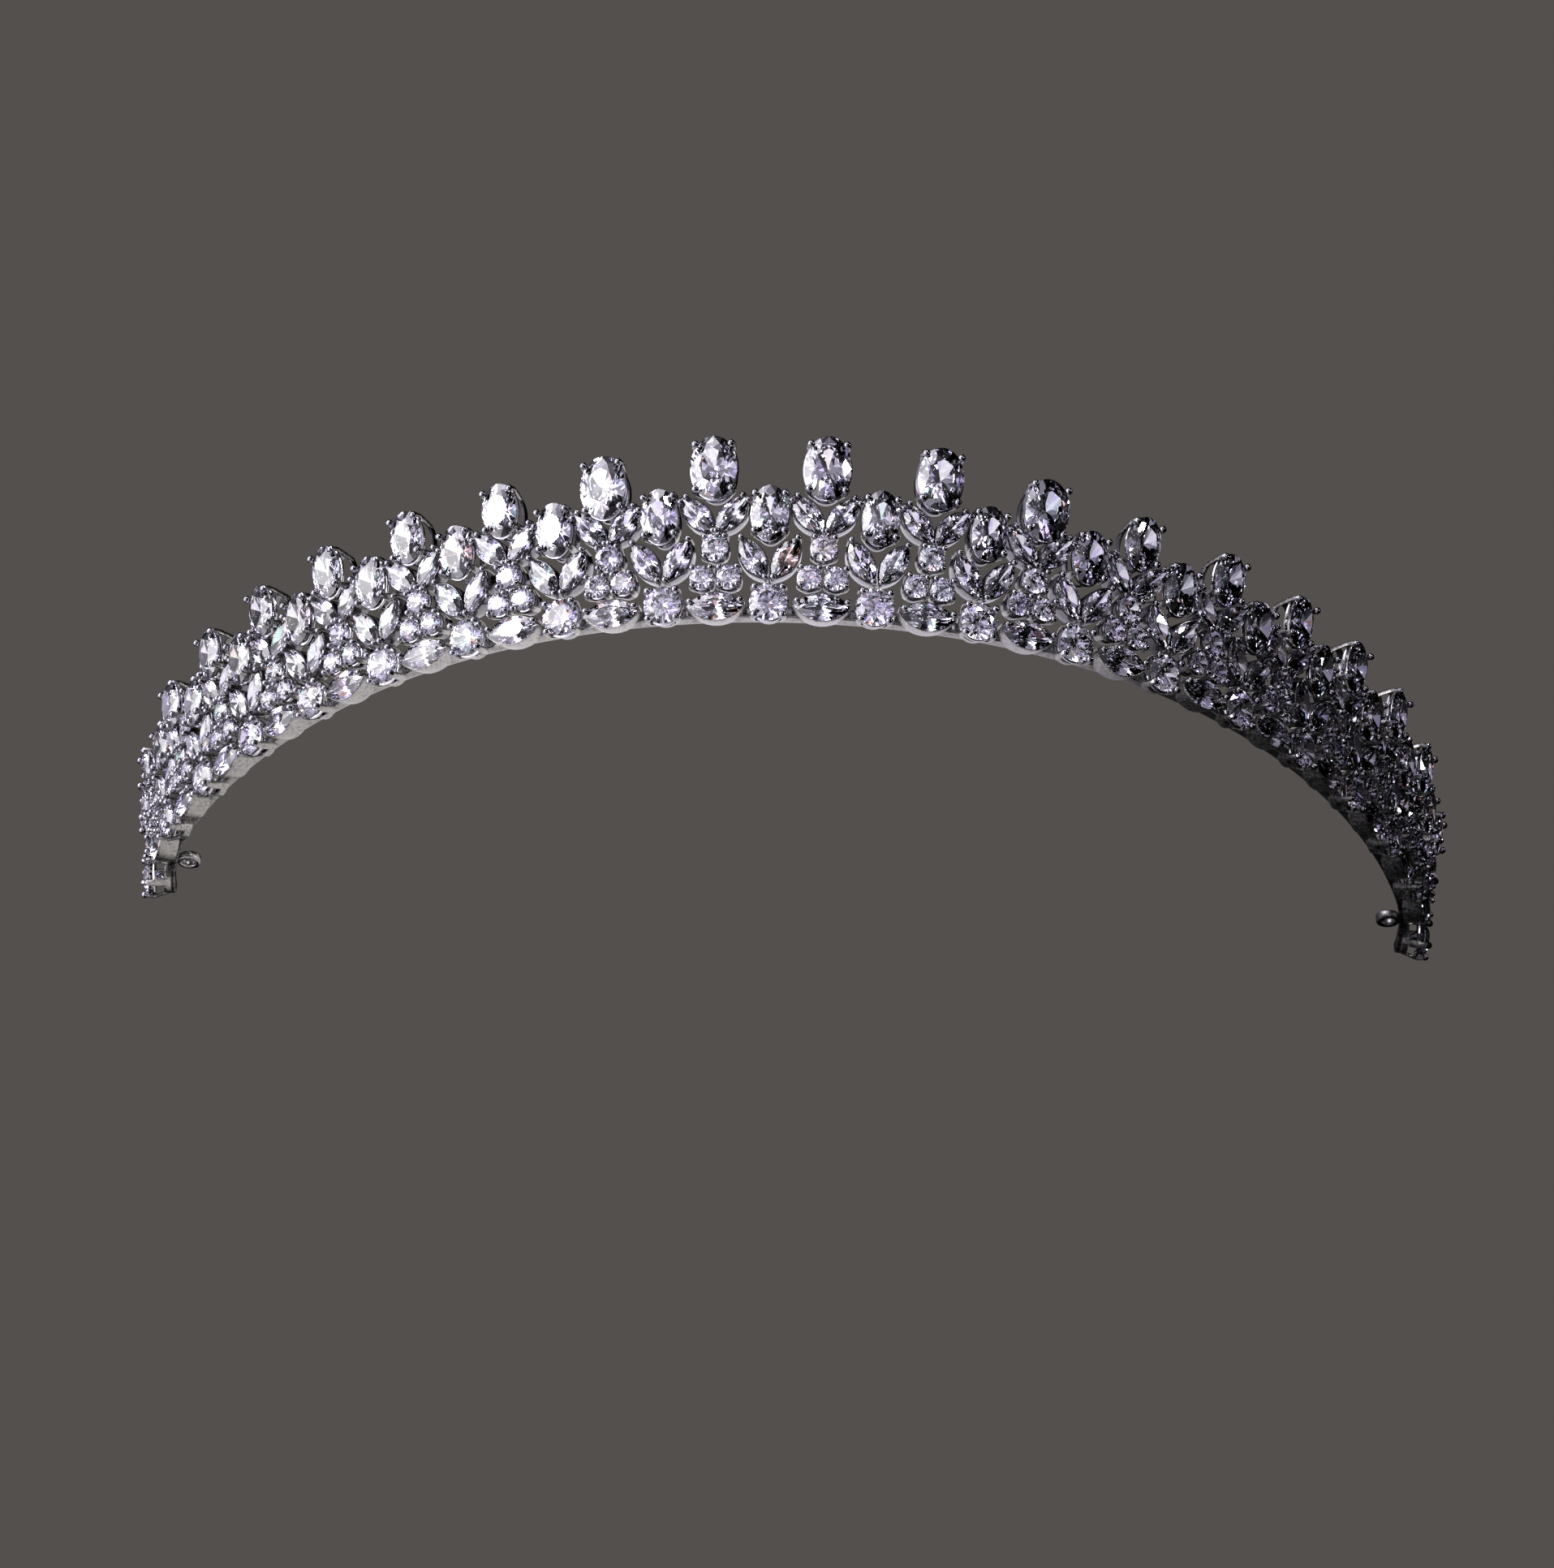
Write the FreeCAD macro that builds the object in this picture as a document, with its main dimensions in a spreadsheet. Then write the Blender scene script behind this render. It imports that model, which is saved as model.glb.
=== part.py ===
"""Bridal tiara: a rigid openwork band of claw-set stones on an arched rail.

Frame: millimetres, +Z up, the lowest edges of the bottom row on Z = 0, the middle of
the tiara towards -Y, the two ends towards +Y, left and right mirrored about X = 0.
The origin is the centre of the bounding box, at its bottom.

The stones stand in columns at an even pitch along the band. Nineteen crest
columns carry the tall ovals; twenty valley columns stand between and beside
them. Column numbers run from the middle: crest 0 is the centre, valley 1 is half
a pitch beside it.
"""
import FreeCAD, Part
import math
import os
import Sketcher

SIZES = {
    # plan curve of the stones' girdle plane: front arc, then a shoulder and a tail arc each side
    "front_radius": 72.6,
    "front_half_angle": 44.2,
    "shoulder_radius": 91.8,
    "shoulder_angle": 25.5,
    "tail_radius": 41.9,
    "tail_angle": 20.6,
    "centre_setback": 31.77,
    "face_lift": 1.86,
    "lean_front": 18.3,
    "lean_drop": 13.4,
    # columns
    "column_pitch": 11.2,
    "end_gap": 3.2,
    # height of each stone's centre above the marquises of the bottom row
    "high_crest": 14.8,
    "second_crest": 13.6,
    "common_crest": 13.1,
    "eighth_crest": 12.2,
    "last_crest": 10.0,
    "valley_crest": 9.9,
    "last_valley_crest": 9.65,
    "rail_round_lift": 0.4,
    "upper_fan_height": 9.95,
    "lower_fan_height": 5.14,
    "upper_round_height": 6.4,
    "cluster_height": 3.15,
    # how far the upper fan sinks below its central height where the crest is lower
    "second_sink": 0.5,
    "common_sink": 0.65,
    "eighth_sink": 1.1,
    "round_sink_share": 0.7,
    "fan_spread_share": 0.12,
    # how far from the column's middle the paired stones stand
    "upper_fan_spread": 1.85,
    "lower_fan_spread": 1.71,
    "cluster_spread": 1.42,
    # lean of the paired marquises away from the column, degrees
    "upper_fan_turn": 42.0,
    "lower_fan_turn": 31.0,
    # stones: length along the long axis and width
    "large_oval_long": 7.0,
    "large_oval_wide": 5.0,
    "oval_long": 6.0,
    "oval_wide": 4.0,
    "small_oval_long": 5.0,
    "small_oval_wide": 3.0,
    "rail_marquise_long": 6.0,
    "rail_marquise_wide": 3.0,
    "fan_marquise_long": 5.0,
    "fan_marquise_wide": 2.5,
    "rail_round_size": 4.0,
    "upper_round_size": 2.8,
    "cluster_round_size": 2.5,
    # proportions of the cut, as shares of the stone's width
    "crown_share": 0.15,
    "table_share": 0.58,
    "pavilion_share": 0.42,
    "girdle_thick": 0.12,
    "culet_share": 0.06,
    "keel_share": 0.97,
    # settings
    "claw_radius": 0.3,
    "ball_radius": 0.42,
    "claw_height": 0.45,
    "claw_gap": 0.04,
    "ring_wall": 0.6,
    "ring_tall": 0.6,
    "gallery_reach": 0.44,
    "seat_reach": 0.15,
    "seat_drop": 0.55,
    "wall_thick": 0.22,
    "seat_width": 0.2,
    "wall_drop": 0.2,
    "basket_depth": 2.6,
    "crest_depth": 3.4,
    "wall_depth": 2.4,
    "leg_depth": 1.5,
    "crest_stand": 0.9,
    # beads of the marquise cups: aside from the long axis, and short of the point or past it
    "pair_aside": 0.4,
    "pair_short": 0.28,
    "rail_bead_aside": 0.5,
    "rail_bead_short": 0.3,
    "single_past": 0.08,
    # rail and the loops at its ends
    "rail_setback": 2.5,
    "rail_drop": 0.25,
    "rail_thick": 1.2,
    "rail_tall": 1.4,
    "loop_station": 104.0,
    "loop_outer": 1.4,
    "loop_bore": 0.8,
    "loop_tall": 1.0,
    "loop_lift": 0.2,
    "loop_reach": 1.3,
}

OVAL_CLAW_ANGLE = 42.0
ROUND_CLAW_ANGLE = 45.0
LAST_CREST = 9
LAST_VALLEY = 10

doc = FreeCAD.newDocument("BridalTiara")
sheet = doc.addObject("Spreadsheet::Sheet", "Sizes")
for row, (alias, value) in enumerate(SIZES.items(), start=1):
    sheet.set(f"A{row}", alias)
    sheet.set(f"B{row}", str(value))
    sheet.setAlias(f"B{row}", alias)
doc.recompute()

nodes = []


def size(alias):
    """The value of one driving dimension, read from the sheet."""
    return float(sheet.get(alias))


def cell(alias):
    """The expression that refers to one driving dimension."""
    return f"Sizes.{alias}"


def bind(obj, expressions):
    """Bind properties of an object to expressions on the sheet."""
    for prop, expression in expressions.items():
        obj.setExpression(prop, expression)
    return obj


def cylinder(name, radius, bottom, tall, x="0", y="0"):
    obj = doc.addObject("Part::Cylinder", name)
    return bind(obj, {
        "Radius": radius,
        "Height": tall,
        "Placement.Base.x": x,
        "Placement.Base.y": y,
        "Placement.Base.z": bottom,
    })


def sphere(name, radius, x, y, z):
    obj = doc.addObject("Part::Sphere", name)
    return bind(obj, {
        "Radius": radius,
        "Placement.Base.x": x,
        "Placement.Base.y": y,
        "Placement.Base.z": z,
    })


def cone(name, low_radius, high_radius, bottom, tall, x="0"):
    obj = doc.addObject("Part::Cone", name)
    return bind(obj, {
        "Radius1": low_radius,
        "Radius2": high_radius,
        "Height": tall,
        "Placement.Base.x": x,
        "Placement.Base.z": bottom,
    })


def cut(name, base, tool):
    obj = doc.addObject("Part::Cut", name)
    obj.Base = base
    obj.Tool = tool
    return obj


def common(name, base, tool):
    obj = doc.addObject("Part::Common", name)
    obj.Base = base
    obj.Tool = tool
    return obj


def fuse(name, shapes):
    obj = doc.addObject("Part::MultiFuse", name)
    obj.Shapes = shapes
    return obj


def ellipse(name, half_long, half_wide, height):
    """A flat ellipse with its long axis along Y."""
    obj = doc.addObject("Part::Ellipse", name)
    obj.Placement = FreeCAD.Placement(
        FreeCAD.Vector(0, 0, 0), FreeCAD.Rotation(FreeCAD.Vector(0, 0, 1), 90))
    return bind(obj, {
        "MajorRadius": half_long,
        "MinorRadius": half_wide,
        "Placement.Base.z": height,
    })


def oval_prism(name, half_long, half_wide, bottom, tall):
    obj = doc.addObject("Part::Extrusion", name)
    obj.Base = ellipse(name + "_outline", half_long, half_wide, bottom)
    obj.DirMode = "Custom"
    obj.Dir = FreeCAD.Vector(0, 0, 1)
    obj.Solid = True
    return bind(obj, {"LengthFwd": tall})


def lens_prism(name, long_size, wide_size, bottom, tall):
    """A marquise outline: the overlap of two equal cylinders, points along Y."""
    radius = f"(({long_size})^2 + ({wide_size})^2) / (4 * ({wide_size}))"
    offset = f"{radius} - ({wide_size}) / 2"
    left = cylinder(name + "_left", radius, bottom, tall, x=f"-({offset})")
    right = cylinder(name + "_right", radius, bottom, tall, x=offset)
    return common(name, left, right)


def claws(name, half_long, half_wide, angle, depth):
    """Four round claws with ball tips, at the corners of a stone."""
    pieces = []
    across = f"({half_wide}) * cos({angle})"
    along = f"({half_long}) * sin({angle})"
    for number, (sx, sy) in enumerate([(1, 1), (-1, 1), (-1, -1), (1, -1)]):
        x = f"{sx} * {across}"
        y = f"{sy} * {along}"
        post = cylinder(f"{name}_claw_{number}", cell("claw_radius"), f"-({depth})",
                        f"{depth} + {cell('claw_height')}", x, y)
        ball = sphere(f"{name}_ball_{number}", cell("ball_radius"), x, y, cell("claw_height"))
        pieces += [post, ball]
    return pieces


def basket(name, long_alias, wide_alias, depth_alias):
    """A claw basket: gallery ring at the back, seat ring under the girdle, four claws."""
    is_round = long_alias == wide_alias
    half_long = f"{cell(long_alias)} / 2"
    half_wide = f"{cell(wide_alias)} / 2"
    depth = cell(depth_alias)
    rings = []
    levels = {
        "gallery": (f"-({depth})", cell("gallery_reach")),
        "seat": (f"-({cell('seat_drop')}) - {cell('ring_tall')}", cell("seat_reach")),
    }
    for level, (bottom, reach) in levels.items():
        walls = {}
        for side, grow in (("outer", reach), ("inner", f"{reach} - {cell('ring_wall')}")):
            label = f"{name}_{level}_{side}"
            tall = cell("ring_tall")
            if is_round:
                walls[side] = cylinder(label, f"{half_long} + {grow}", bottom, tall)
            else:
                walls[side] = oval_prism(label, f"{half_long} + {grow}", f"{half_wide} + {grow}",
                                         bottom, tall)
        rings.append(cut(f"{name}_{level}", walls["outer"], walls["inner"]))
    claw_line = f"{cell('claw_radius')} + {cell('claw_gap')}"
    angle = ROUND_CLAW_ANGLE if is_round else OVAL_CLAW_ANGLE
    return fuse(name, rings + claws(name, f"{half_long} + {claw_line}", f"{half_wide} + {claw_line}",
                                    angle, depth))


def marquise_cup(name, long_alias, wide_alias, beads):
    """A boat-shaped wall that the stone sits on, with bead claws near its points.

    Each bead is (end, side, aside, beyond): the signs of the end and side it stands on,
    how far it is from the long axis and how far beyond the stone's point.
    """
    long_size = cell(long_alias)
    wide_size = cell(wide_alias)
    grow = f"2 * {cell('wall_thick')}"
    shrink = f"2 * {cell('seat_width')}"
    bottom = f"-{cell('wall_depth')}"
    tall = f"{cell('wall_depth')} - {cell('wall_drop')}"
    outer = lens_prism(name + "_outer", f"({long_size} + {grow})", f"({wide_size} + {grow})", bottom, tall)
    inner = lens_prism(name + "_inner", f"({long_size} - {shrink})", f"({wide_size} - {shrink})",
                       bottom, tall)
    pieces = [cut(name + "_wall", outer, inner)]
    for number, (end, side, aside, beyond) in enumerate(beads):
        x = f"{side} * {aside}"
        y = f"{end} * ({long_size} / 2 + {beyond})"
        leg = cylinder(f"{name}_leg_{number}", cell("claw_radius"), f"-{cell('leg_depth')}",
                       f"{cell('leg_depth')} + {cell('claw_height')}", x, y)
        ball = sphere(f"{name}_ball_{number}", cell("ball_radius"), x, y, cell("claw_height"))
        pieces += [leg, ball]
    return fuse(name, pieces)


def round_stone(name, size_alias):
    """A round brilliant outline, turned about its own axis."""
    body = doc.addObject("PartDesign::Body", name)
    plane = [f for f in body.Origin.OriginFeatures if f.Role == "XZ_Plane"][0]
    sketch = body.newObject("Sketcher::SketchObject", name + "_profile")
    sketch.AttachmentSupport = [(plane, "")]
    sketch.MapMode = "FlatFace"
    full = cell(size_alias)
    half_girdle = f"{cell('girdle_thick')} / 2"
    corners = [
        ("0", f"-{cell('pavilion_share')} * {full}"),
        (f"{full} / 2", f"-{half_girdle}"),
        (f"{full} / 2", half_girdle),
        (f"{full} / 2 * {cell('table_share')}", f"{cell('crown_share')} * {full}"),
        ("0", f"{cell('crown_share')} * {full}"),
    ]
    wide = size(size_alias)
    half = wide / 2
    edge = size("girdle_thick") / 2
    table = half * size("table_share")
    top = wide * size("crown_share")
    places = [
        FreeCAD.Vector(0, -wide * size("pavilion_share"), 0),
        FreeCAD.Vector(half, -edge, 0),
        FreeCAD.Vector(half, edge, 0),
        FreeCAD.Vector(table, top, 0),
        FreeCAD.Vector(0, top, 0),
    ]
    count = len(places)
    for index in range(count):
        sketch.addGeometry(Part.LineSegment(places[index], places[(index + 1) % count]), False)
    for index in range(count):
        sketch.addConstraint(Sketcher.Constraint("Coincident", index, 2, (index + 1) % count, 1))
    for index, (x, y) in enumerate(corners):
        if x == "0":
            sketch.addConstraint(Sketcher.Constraint("PointOnObject", index, 1, -2))
        else:
            across = Sketcher.Constraint("DistanceX", -1, 1, index, 1, places[index].x)
            number = sketch.addConstraint(across)
            sketch.setExpression(f"Constraints[{number}]", x)
        number = sketch.addConstraint(Sketcher.Constraint("DistanceY", -1, 1, index, 1, places[index].y))
        sketch.setExpression(f"Constraints[{number}]", y)
    doc.recompute()
    turned = body.newObject("PartDesign::Revolution", name + "_turned")
    turned.Profile = sketch
    turned.ReferenceAxis = (sketch, ["V_Axis"])
    turned.Angle = 360
    body.Tip = turned
    return body


def oval_stone(name, long_alias, wide_alias):
    """An oval stone: straight lofts from culet to girdle and from girdle to table."""
    half_long = f"{cell(long_alias)} / 2"
    half_wide = f"{cell(wide_alias)} / 2"
    half_girdle = f"{cell('girdle_thick')} / 2"
    crown = f"{cell('crown_share')} * {cell(wide_alias)}"
    pavilion = f"{cell('pavilion_share')} * {cell(wide_alias)}"
    layers = [
        (cell("culet_share"), f"-({pavilion})"),
        ("1", f"-({half_girdle})"),
        ("1", half_girdle),
        (cell("table_share"), crown),
    ]
    outlines = []
    for number, (share, height) in enumerate(layers):
        outlines.append(ellipse(f"{name}_outline_{number}", f"{half_long} * {share}",
                                f"{half_wide} * {share}", height))
    loft = doc.addObject("Part::Loft", name)
    loft.Sections = outlines
    loft.Solid = True
    loft.Ruled = True
    return loft


def marquise_stone(name, long_alias, wide_alias):
    """A marquise stone: overlapping cones give the keel, the girdle and the crown."""
    long_size = cell(long_alias)
    wide_size = cell(wide_alias)
    radius = f"({long_size}^2 + {wide_size}^2) / (4 * {wide_size})"
    offset = f"{radius} - {wide_size} / 2"
    half_girdle = f"{cell('girdle_thick')} / 2"
    crown = f"{cell('crown_share')} * {wide_size} - {half_girdle}"
    pavilion = f"{cell('pavilion_share')} * {wide_size} - {half_girdle}"
    table_step = f"{wide_size} / 2 * (1 - {cell('table_share')})"
    keel_step = f"{wide_size} / 2 * {cell('keel_share')}"
    layers = [
        ("pavilion", f"{radius} - {keel_step}", radius, f"-({pavilion}) - {half_girdle}", pavilion),
        ("girdle", radius, radius, f"-({half_girdle})", cell("girdle_thick")),
        ("crown", radius, f"{radius} - {table_step}", half_girdle, crown),
    ]
    pieces = []
    for layer, low, high, bottom, tall in layers:
        sides = []
        for side, x in (("left", f"-({offset})"), ("right", offset)):
            label = f"{name}_{layer}_{side}"
            if low == high:
                sides.append(cylinder(label, low, bottom, tall, x=x))
            else:
                sides.append(cone(label, low, high, bottom, tall, x=x))
        pieces.append(common(f"{name}_{layer}", sides[0], sides[1]))
    return fuse(name, pieces)


def band_arcs():
    """Radius and sweep in degrees of each arc from the middle to the end."""
    return [
        (size("front_radius"), size("front_half_angle")),
        (size("shoulder_radius"), size("shoulder_angle")),
        (size("tail_radius"), size("tail_angle")),
    ]


def band_point(station):
    """Plan position and heading (degrees) of the girdle plane at a distance along the band."""
    left = abs(station)
    side = 1 if station >= 0 else -1
    x = 0.0
    y = -size("centre_setback")
    heading = 0.0
    for radius, sweep in band_arcs():
        turn = min(left / radius, math.radians(sweep))
        x += radius * (math.sin(heading + turn) - math.sin(heading))
        y += radius * (math.cos(heading) - math.cos(heading + turn))
        heading += turn
        left -= turn * radius
    return side * x, y, side * math.degrees(heading)


def column_placement(column):
    """Local frame of a column: X along the band, Y up the leaning face, Z outwards."""
    station = column * size("column_pitch")
    if abs(column) > LAST_CREST:
        station += math.copysign(size("end_gap"), column)
    x, y, heading = band_point(station)
    lean = size("lean_front") - size("lean_drop") * (column / (LAST_CREST + 0.5)) ** 2
    upright = FreeCAD.Rotation(FreeCAD.Vector(1, 0, 0), 90 + lean)
    turned = FreeCAD.Rotation(FreeCAD.Vector(0, 0, 1), heading)
    return FreeCAD.Placement(FreeCAD.Vector(x, y, size("face_lift")), turned * upright)


def local_placement(across, up, out=0.0, turn=0.0):
    rotation = FreeCAD.Rotation(FreeCAD.Vector(0, 0, 1), turn)
    return FreeCAD.Placement(FreeCAD.Vector(across, up, out), rotation)


def add_node(label, obj):
    obj.Label = label
    nodes.append(obj)


def add_group(label, shapes):
    """A node of separate solids that are placed copies of the prototypes."""
    group = doc.addObject("Part::Feature", label)
    group.Shape = Part.makeCompound(shapes)
    group.Placement = FreeCAD.Placement()
    add_node(label, group)


def rail_low():
    """Expression for the height of the rail's underside."""
    return f"({cell('face_lift')} - {cell('rail_drop')})"


def rail_arc(name, radius, centre_x, centre_y, start, sweep):
    """One arc of the rail, between two concentric cylinder sectors."""
    half = f"{cell('rail_thick')} / 2"
    walls = {}
    for wall, sign in (("outer", "+"), ("inner", "-")):
        obj = cylinder(f"{name}_{wall}", f"{radius} - {cell('rail_setback')} {sign} {half}", rail_low(),
                       cell("rail_tall"))
        walls[wall] = bind(obj, {
            "Angle": sweep,
            "Placement.Base.x": centre_x,
            "Placement.Base.y": centre_y,
            "Placement.Rotation.Angle": start,
        })
    return cut(name, walls["outer"], walls["inner"])


def make_rail():
    """The rail: a front arc, then a shoulder arc, a tail arc and a rounded tip each side."""
    front = cell("front_radius")
    shoulder = cell("shoulder_radius")
    tail = cell("tail_radius")
    front_turn = cell("front_half_angle")
    shoulder_turn = cell("shoulder_angle")
    tail_turn = cell("tail_angle")
    front_y = f"{front} - {cell('centre_setback')}"
    pieces = [rail_arc("rail_front", front, "0", front_y, f"-90 - {front_turn}", f"2 * {front_turn}")]
    both_turns = f"({front_turn} + {shoulder_turn})"
    shoulder_x = f"({front} - {shoulder}) * sin({front_turn})"
    shoulder_y = f"{front_y} - ({front} - {shoulder}) * cos({front_turn})"
    tail_x = f"{shoulder_x} + ({shoulder} - {tail}) * sin({both_turns})"
    tail_y = f"{shoulder_y} - ({shoulder} - {tail}) * cos({both_turns})"
    for side, name in ((1, "right"), (-1, "left")):
        shoulder_start = f"-90 + {front_turn}"
        tail_start = f"-90 + {both_turns}"
        if side < 0:
            shoulder_start = f"-90 - {both_turns}"
            tail_start = f"-90 - {both_turns} - {tail_turn}"
        pieces.append(rail_arc(f"rail_shoulder_{name}", shoulder, f"{side} * ({shoulder_x})", shoulder_y,
                               shoulder_start, shoulder_turn))
        pieces.append(rail_arc(f"rail_tail_{name}", tail, f"{side} * ({tail_x})", tail_y, tail_start,
                               tail_turn))
        tip = doc.addObject("Part::Cylinder", f"rail_tip_{name}")
        bind(tip, {"Radius": f"{cell('rail_thick')} / 2", "Height": cell("rail_tall")})
        tip.Placement = inner_frame(side, rail_end(), size("rail_setback"),
                                    size("face_lift") - size("rail_drop"))
        pieces.append(tip)
    return fuse("base_rail", pieces)


def rail_end():
    """Distance along the band from the middle to the rail's end."""
    return sum(radius * math.radians(sweep) for radius, sweep in band_arcs())


def inner_frame(side, along, inwards, height):
    """Placement inside the band: X along the band, Y towards the head."""
    x, y, heading = band_point(side * along)
    turn = math.radians(heading)
    inner = FreeCAD.Vector(-math.sin(turn), math.cos(turn), 0)
    point = FreeCAD.Vector(x, y, height) + inner * inwards
    return FreeCAD.Placement(point, FreeCAD.Rotation(FreeCAD.Vector(0, 0, 1), heading))


def make_loop(name, side):
    """A flat eyelet on the inside of the rail's end, for a hairpin or an elastic."""
    ring = cylinder(f"{name}_ring", cell("loop_outer"), "0", cell("loop_tall"))
    foot = doc.addObject("Part::Box", f"{name}_foot")
    bind(foot, {
        "Length": cell("loop_outer"),
        "Width": cell("loop_reach"),
        "Height": cell("loop_tall"),
        "Placement.Base.x": f"-{cell('loop_outer')} / 2",
        "Placement.Base.y": f"-{cell('loop_reach')}",
    })
    blank = fuse(f"{name}_blank", [ring, foot])
    hole = cylinder(f"{name}_hole", cell("loop_bore"), "0", cell("loop_tall"))
    loop = cut(name, blank, hole)
    inwards = size("rail_setback") + size("rail_thick") / 2 + size("loop_reach")
    low = size("face_lift") - size("rail_drop") + size("loop_lift")
    loop.Placement = inner_frame(side, size("loop_station"), inwards, low)
    return loop


add_node("base_rail", make_rail())
add_node("hairpin_loop_left", make_loop("hairpin_loop_left", -1))
add_node("hairpin_loop_right", make_loop("hairpin_loop_right", 1))

# beads of the marquise cups: the upper fan's stones have two at their outer point
PAIR = (cell("pair_aside"), f"-{cell('pair_short')}")
RAIL_BEAD = (cell("rail_bead_aside"), f"-{cell('rail_bead_short')}")
SINGLE = ("0", cell("single_past"))
RAIL_BEADS = [(1, 1, *RAIL_BEAD), (-1, 1, *RAIL_BEAD)]
UPPER_BEADS = [(1, -1, *PAIR), (1, 1, *PAIR), (-1, 1, *SINGLE)]
LOWER_BEADS = [(1, 1, *SINGLE), (-1, 1, *SINGLE)]

SETTINGS = {
    "large_oval": basket("large_oval_basket", "large_oval_long", "large_oval_wide", "crest_depth"),
    "oval": basket("oval_basket", "oval_long", "oval_wide", "crest_depth"),
    "small_oval": basket("small_oval_basket", "small_oval_long", "small_oval_wide", "crest_depth"),
    "rail_round": basket("rail_round_basket", "rail_round_size", "rail_round_size", "basket_depth"),
    "upper_round": basket("upper_round_basket", "upper_round_size", "upper_round_size", "basket_depth"),
    "cluster_round": basket("cluster_round_basket", "cluster_round_size", "cluster_round_size",
                            "basket_depth"),
    "rail_marquise": marquise_cup("rail_marquise_cup", "rail_marquise_long", "rail_marquise_wide",
                                  RAIL_BEADS),
    "upper_marquise": marquise_cup("upper_marquise_cup", "fan_marquise_long", "fan_marquise_wide",
                                   UPPER_BEADS),
    "lower_marquise": marquise_cup("lower_marquise_cup", "fan_marquise_long", "fan_marquise_wide",
                                   LOWER_BEADS),
}
STONES = {
    "large_oval": oval_stone("large_oval_stone", "large_oval_long", "large_oval_wide"),
    "oval": oval_stone("oval_stone", "oval_long", "oval_wide"),
    "small_oval": oval_stone("small_oval_stone", "small_oval_long", "small_oval_wide"),
    "rail_round": round_stone("rail_round_stone", "rail_round_size"),
    "upper_round": round_stone("upper_round_stone", "upper_round_size"),
    "cluster_round": round_stone("cluster_round_stone", "cluster_round_size"),
    "rail_marquise": marquise_stone("rail_marquise_stone", "rail_marquise_long", "rail_marquise_wide"),
    "upper_marquise": marquise_stone("upper_fan_stone", "fan_marquise_long", "fan_marquise_wide"),
    "lower_marquise": marquise_stone("lower_fan_stone", "fan_marquise_long", "fan_marquise_wide"),
}
doc.recompute()

# node that holds the stones of each kind, for crest columns and for valley columns
CREST_STONES = {
    "large_oval": "crest_large_ovals",
    "oval": "crest_ovals",
    "small_oval": "crest_end_ovals",
    "upper_round": "upper_rounds",
    "cluster_round": "cluster_rounds",
    "rail_marquise": "rail_marquises",
    "upper_marquise": "upper_marquises",
}
VALLEY_STONES = {
    "oval": "valley_ovals",
    "rail_round": "rail_rounds",
    "lower_marquise": "lower_marquises",
}
stone_shapes = {name: [] for name in [*CREST_STONES.values(), *VALLEY_STONES.values()]}


def pair(kind, spread, up, turn):
    """Two stones either side of the column's middle line, leaning apart."""
    return [(kind, -spread, up, 0, turn), (kind, spread, up, 0, -turn)]


def crest_layout(column):
    """Stones of a crest column as (kind, across, up, out, turn)."""
    number = abs(column)
    kind = "large_oval" if number <= 2 else "oval"
    top = size("common_crest")
    sink = size("common_sink")
    if number <= 1:
        top = size("high_crest")
        sink = 0.0
    elif number == 2:
        top = size("second_crest")
        sink = size("second_sink")
    elif number >= LAST_CREST - 1:
        top = size("eighth_crest")
        sink = size("eighth_sink")
    if number == LAST_CREST:
        top = size("last_crest")
        kind = "small_oval"
    layout = [("rail_marquise", 0, 0, 0, 90)]
    layout += pair("cluster_round", size("cluster_spread"), size("cluster_height"), 0)
    round_height = size("upper_round_height") - sink * size("round_sink_share")
    layout.append(("upper_round", 0, round_height, 0, 0))
    if number < LAST_CREST:
        spread = size("upper_fan_spread") + sink * size("fan_spread_share")
        layout += pair("upper_marquise", spread, size("upper_fan_height") - sink, size("upper_fan_turn"))
    layout.append((kind, 0, top, size("crest_stand"), 0))
    return layout


def valley_layout(column):
    """Stones of a valley column as (kind, across, up, out, turn)."""
    top = size("last_valley_crest") if abs(column) > LAST_CREST else size("valley_crest")
    layout = [("rail_round", 0, size("rail_round_lift"), 0, 0)]
    layout += pair("lower_marquise", size("lower_fan_spread"), size("lower_fan_height"),
                   size("lower_fan_turn"))
    layout.append(("oval", 0, top, size("crest_stand") / 2, 0))
    return layout


def place_column(label, column, layout, stone_nodes):
    """Set one column's settings as a node and hand its stones to their groups."""
    frame = column_placement(column)
    settings = []
    for kind, across, up, out, turn in layout:
        place = frame.multiply(local_placement(across, up, out, turn))
        setting = SETTINGS[kind].Shape.copy()
        setting.Placement = place
        settings.append(setting)
        stone = STONES[kind].Shape.copy()
        stone.Placement = place
        stone_shapes[stone_nodes[kind]].append(stone)
    add_group(label, settings)


def side_name(column):
    if column == 0:
        return "centre"
    return "left" if column < 0 else "right"


for crest in range(-LAST_CREST, LAST_CREST + 1):
    suffix = "" if crest == 0 else f"_{abs(crest)}"
    place_column(f"crest_setting_{side_name(crest)}{suffix}", crest, crest_layout(crest), CREST_STONES)

for side in (-1, 1):
    for valley in range(1, LAST_VALLEY + 1):
        column = side * (valley - 0.5)
        place_column(f"valley_setting_{side_name(column)}_{valley}", column,
                     valley_layout(column), VALLEY_STONES)

for label, shapes in stone_shapes.items():
    add_group(label, shapes)

doc.recompute()
for obj in doc.Objects:
    if "Invalid" in obj.State or "Error" in obj.State:
        raise RuntimeError(f"{obj.Label} failed: {obj.State}")
for node in nodes:
    if node.Shape.isNull() or not node.Shape.isValid():
        raise RuntimeError(f"{node.Label} has no valid shape")

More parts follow.
